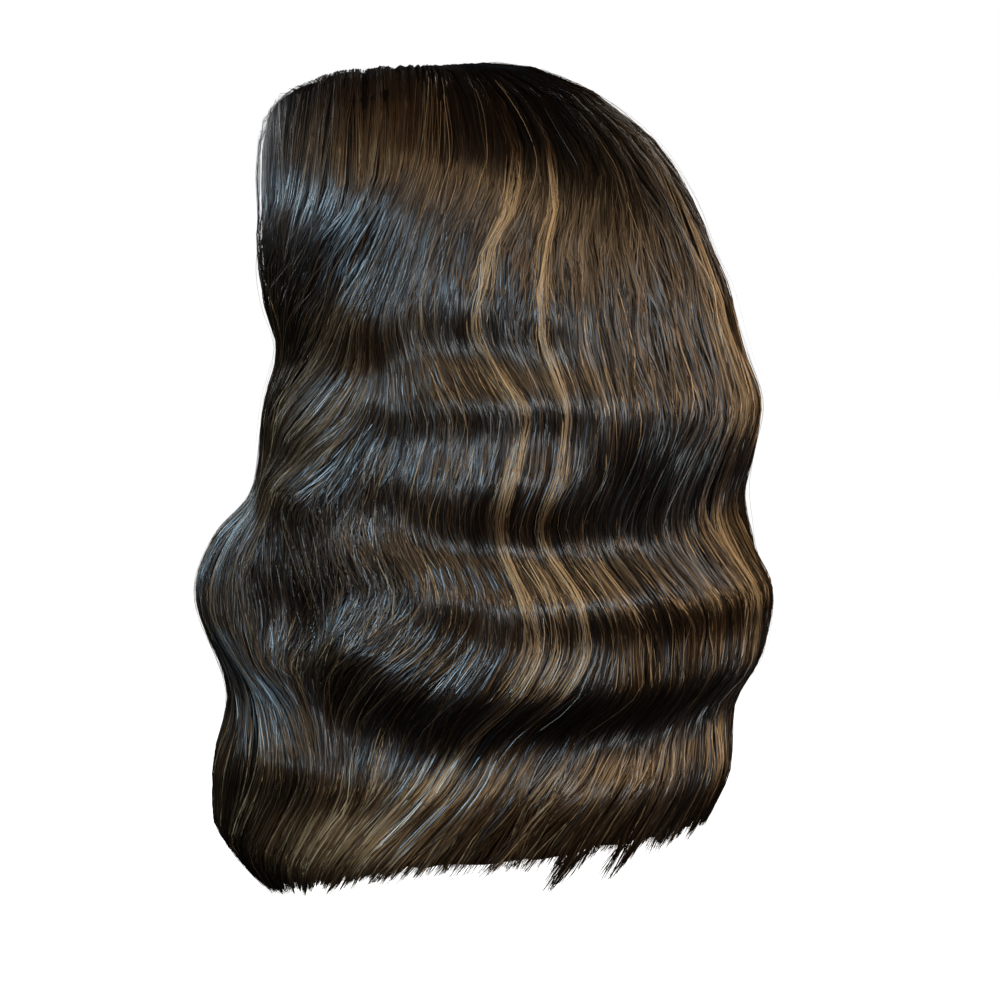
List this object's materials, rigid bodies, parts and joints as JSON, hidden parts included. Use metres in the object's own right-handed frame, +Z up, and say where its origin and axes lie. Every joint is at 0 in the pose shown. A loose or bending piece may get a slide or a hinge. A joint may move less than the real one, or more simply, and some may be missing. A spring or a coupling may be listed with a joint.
{
  "type": "wig",
  "caption": "Long wavy wig on a thin stretch cap, parted in front, dark brown with fine golden highlight locks, hollow for the head and open at the face",
  "frame": {"origin": "top of the hollow, on the inside of the cap, where the crown of the wearer's head seats", "axes": "+Z up along the height of the hair, the wearer faces -Y, the wearer's left is +X"},
  "size_m": [0.2272, 0.267, 0.4018],
  "materials": {
    "cap_net": "fine dark brown stretch net with sewn weft rows",
    "under_hair": "near-black brown hair, soft sheen along the strands",
    "hair": "dark brown hair, glossy along the strands",
    "highlight_hair": "golden brown hair mixed with dark strands, glossy along the strands"
  },
  "bodies": {
    "root": {"cap": "cap_net", "under_layer": "under_hair", "hair_left_front": "hair", "hair_left": "hair", "highlight_left": "highlight_hair", "hair_left_back": "hair", "highlight_back_left": "highlight_hair", "hair_back": "hair", "highlight_back": "highlight_hair", "hair_back_right": "hair", "highlight_right": "highlight_hair", "hair_right": "hair", "hair_right_side": "hair", "hair_right_front": "hair"}
  },
  "joints": []
}
